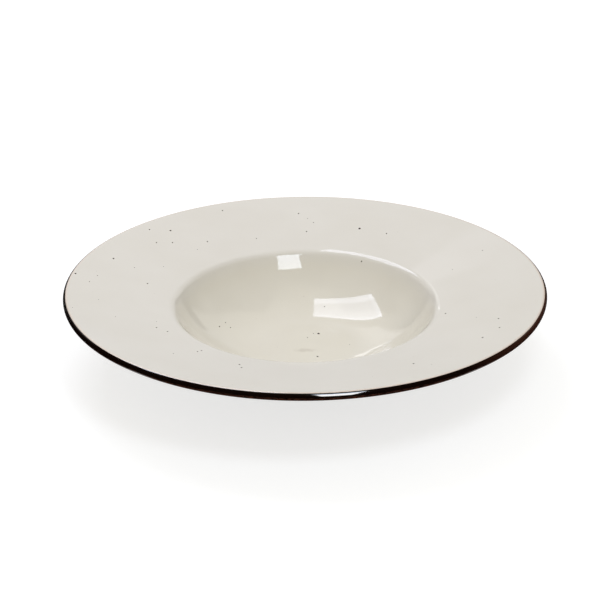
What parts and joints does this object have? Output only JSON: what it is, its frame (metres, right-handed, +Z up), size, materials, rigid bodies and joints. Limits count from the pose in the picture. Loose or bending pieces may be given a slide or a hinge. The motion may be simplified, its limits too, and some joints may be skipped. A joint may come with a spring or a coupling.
{
  "type": "risotto plate",
  "caption": "Round rimmed plate with a deep rounded well and a foot ring, in speckled off-white glaze with a dark brown banded edge, for serving risotto, pasta or soup.",
  "frame": {"origin": "middle of the foot ring's standing face, on the surface that the plate stands on", "axes": "+Z up along the plate's axis of revolution; X and Y lie in the standing plane and are alike"},
  "size_m": [0.28, 0.28, 0.0494],
  "materials": {
    "fired_clay": "bare fired stoneware, matt and slightly gritty",
    "off_white_glaze": "glossy off-white glaze with fine brown iron specks",
    "brown_iron_glaze": "glossy near-black brown iron glaze, mottled rust where it thins"
  },
  "bodies": {
    "root": {"clay_body": "fired_clay", "face_glaze": "off_white_glaze", "edge_band": "brown_iron_glaze", "back_glaze": "off_white_glaze", "base_glaze": "off_white_glaze"}
  },
  "joints": []
}
